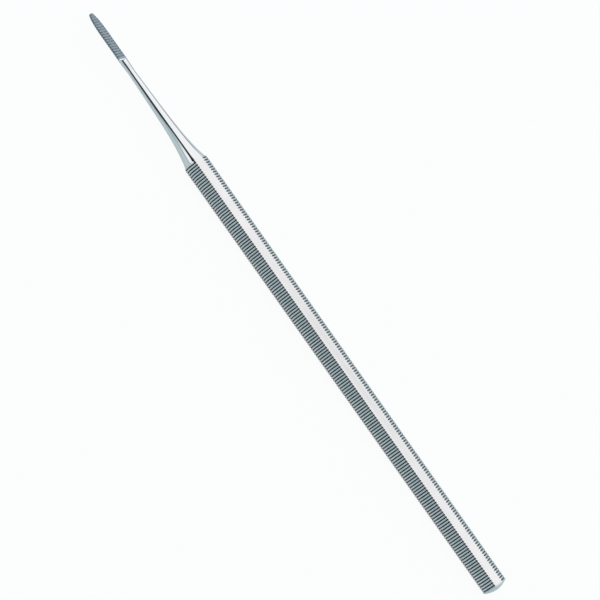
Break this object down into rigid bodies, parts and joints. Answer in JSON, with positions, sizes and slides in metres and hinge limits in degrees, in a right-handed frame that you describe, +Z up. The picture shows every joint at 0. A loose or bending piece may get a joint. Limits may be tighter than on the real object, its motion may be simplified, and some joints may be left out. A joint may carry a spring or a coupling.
{
  "type": "instrument rasp",
  "caption": "Slim steel hand rasp: small flat cross-cut blade on a polished tapering shank, set in a long octagonal grooved handle with a domed butt.",
  "frame": {"origin": "on the resting plane, below the middle of the overall length", "axes": "+X from the rasp's tip towards the domed butt, +Z up out of the plain upper flat of the handle, +Y across the handle"},
  "size_m": [0.16, 0.0056, 0.0056],
  "materials": {
    "polished_steel": "mirror-polished shank, satin rasp teeth",
    "handle_steel": "polished plain flats, fine satin in the grooves",
    "plug_steel": "polished"
  },
  "bodies": {
    "root": {"working_end": "polished_steel", "handle": "handle_steel", "end_plug": "plug_steel"}
  },
  "joints": []
}
